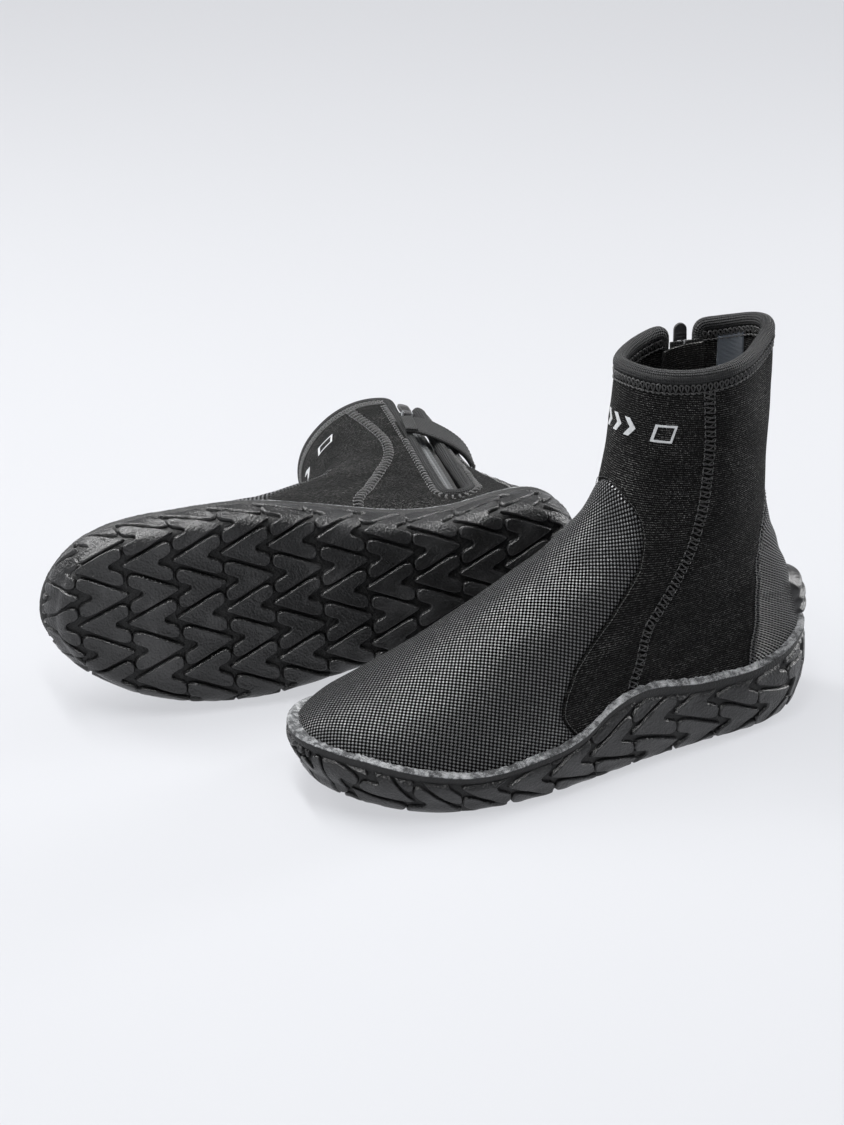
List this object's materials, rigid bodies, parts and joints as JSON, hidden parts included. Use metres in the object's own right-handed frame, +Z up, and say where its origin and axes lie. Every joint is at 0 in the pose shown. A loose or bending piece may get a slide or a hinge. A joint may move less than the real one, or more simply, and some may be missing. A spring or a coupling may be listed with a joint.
{
  "type": "pair of zipped neoprene boots",
  "caption": "Pair of ankle-high neoprene boots with moulded lug soles, medial zips and keeper straps; one standing, one lying on its side.",
  "frame": {"origin": "centre of the pair's footprint, on the ground", "axes": "+Z up; the standing left boot's toe points to -X and its medial side faces +Y; the right boot lies on its lateral side at +Y with its sole facing -Y"},
  "size_m": [0.384, 0.3595, 0.2252],
  "materials": {
    "outsole_rubber": "satin moulded rubber with a fine grain",
    "bond_band": "rough buffed cement line",
    "midsole_board": "matte",
    "footbed_foam": "brushed cloth on foam",
    "abrasion_fabric": "dotted abrasion fabric, slightly glossy",
    "neoprene_jersey": "knitted nylon on neoprene",
    "strap_stop_rubber": "satin",
    "binding_fabric": "rolled stretch binding",
    "zip_tape": "woven",
    "zip_teeth": "satin moulded plastic",
    "slider_metal": "satin",
    "pull_rubber": "matte",
    "strap_fabric": "knitted",
    "hook_tape": "hook tape",
    "loop_tape": "loop tape",
    "label_cloth": "woven cloth, blank"
  },
  "bodies": {
    "left_boot": {"left_outsole": "outsole_rubber", "left_edge_bond_band": "bond_band", "left_midsole_board": "midsole_board", "left_footbed": "footbed_foam", "left_vamp_panel": "abrasion_fabric", "left_front_panel": "neoprene_jersey", "left_lateral_quarter": "neoprene_jersey", "left_medial_quarter": "neoprene_jersey", "left_heel_counter": "abrasion_fabric", "left_fin_strap_stop": "strap_stop_rubber", "left_collar_binding": "binding_fabric", "left_slot_binding": "binding_fabric", "left_zip_tapes": "zip_tape", "left_zip_teeth_front": "zip_teeth", "left_zip_teeth_rear": "zip_teeth", "left_zip_stops": "zip_teeth", "left_zip_gusset": "neoprene_jersey", "left_strap_loop_pad": "loop_tape", "left_collar_label": "label_cloth"},
    "left_slider": {"left_zip_slider": "slider_metal"},
    "left_pull": {"left_zip_pull_tab": "pull_rubber"},
    "left_strap": {"left_keeper_strap": "strap_fabric", "left_strap_hook_pad": "hook_tape"},
    "right_boot": {"right_outsole": "outsole_rubber", "right_edge_bond_band": "bond_band", "right_midsole_board": "midsole_board", "right_footbed": "footbed_foam", "right_vamp_panel": "abrasion_fabric", "right_front_panel": "neoprene_jersey", "right_lateral_quarter": "neoprene_jersey", "right_medial_quarter": "neoprene_jersey", "right_heel_counter": "abrasion_fabric", "right_fin_strap_stop": "strap_stop_rubber", "right_collar_binding": "binding_fabric", "right_slot_binding": "binding_fabric", "right_zip_tapes": "zip_tape", "right_zip_teeth_front": "zip_teeth", "right_zip_teeth_rear": "zip_teeth", "right_zip_stops": "zip_teeth", "right_zip_gusset": "neoprene_jersey", "right_strap_loop_pad": "loop_tape", "right_collar_label": "label_cloth"},
    "right_slider": {"right_zip_slider": "slider_metal"},
    "right_pull": {"right_zip_pull_tab": "pull_rubber"},
    "right_strap": {"right_keeper_strap": "strap_fabric", "right_strap_hook_pad": "hook_tape"}
  },
  "joints": [
    {"name": "left_zip_slide", "type": "slide", "parent": "left_boot", "child": "left_slider", "axis": [0.0085, -0.0315, -0.9995], "range_m": [0, 0.1295]},
    {"name": "left_pull_flip", "type": "hinge", "parent": "left_slider", "child": "left_pull", "pos_m": [0.12759, -0.09065, 0.19518], "axis": [-0.9876, 0.1564, -0.0133], "range_deg": [0, 150]},
    {"name": "left_strap_peel", "type": "hinge", "parent": "left_boot", "child": "left_strap", "pos_m": [0.11652, -0.0854, 0.15082], "axis": [0.1019, 0.0032, 0.9948], "range_deg": [0, 120]},
    {"name": "right_zip_slide", "type": "slide", "parent": "right_boot", "child": "right_slider", "axis": [-0.2522, -0.9656, 0.064], "range_m": [0, 0.1295]},
    {"name": "right_pull_flip", "type": "hinge", "parent": "right_slider", "child": "right_pull", "pos_m": [0.08419, 0.15239, 0.07913], "axis": [0.9343, -0.2602, -0.2436], "range_deg": [0, 150]},
    {"name": "right_strap_peel", "type": "hinge", "parent": "right_boot", "child": "right_strap", "pos_m": [0.06216, 0.11254, 0.0895], "axis": [-0.28, -0.9583, 0.0563], "range_deg": [0, 120]},
    {"name": "right_boot_set_apart", "type": "slide", "parent": "left_boot", "child": "right_boot", "axis": [0, 1, 0], "range_m": [0, 0.15]}
  ]
}
